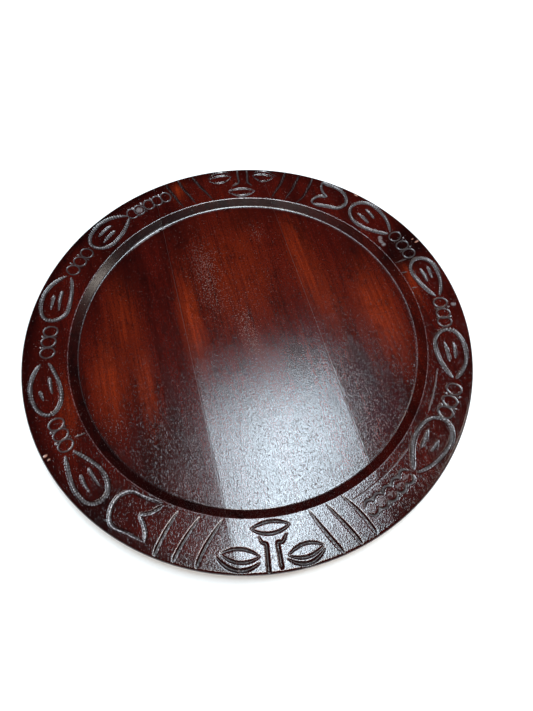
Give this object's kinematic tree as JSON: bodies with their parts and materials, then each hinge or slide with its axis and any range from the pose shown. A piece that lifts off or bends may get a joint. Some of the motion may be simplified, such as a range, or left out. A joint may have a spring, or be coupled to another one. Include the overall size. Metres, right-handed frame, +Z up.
{
  "type": "divination tray",
  "caption": "Round wooden divination tray: a flat carved rim around a shallow sunk field, turned from a panel of boards glued edge to edge.",
  "frame": {"origin": "centre of the flat underside, on the surface that the tray lies on", "axes": "+Z up along the lathe's axis, -Y towards the user and the nearer carved face, +X to the right"},
  "size_m": [0.3498, 0.3498, 0.02],
  "materials": {
    "left_board_wood": "dark red-brown stain under worn satin varnish",
    "middle_board_wood": "dark red-brown stain under glossy varnish",
    "right_board_wood": "red-brown stain under glossy varnish",
    "dried_glue": "stained and varnished over"
  },
  "bodies": {
    "root": {"board_left": "left_board_wood", "board_middle": "middle_board_wood", "board_right": "right_board_wood", "glue_line_left": "dried_glue", "glue_line_right": "dried_glue"}
  },
  "joints": []
}
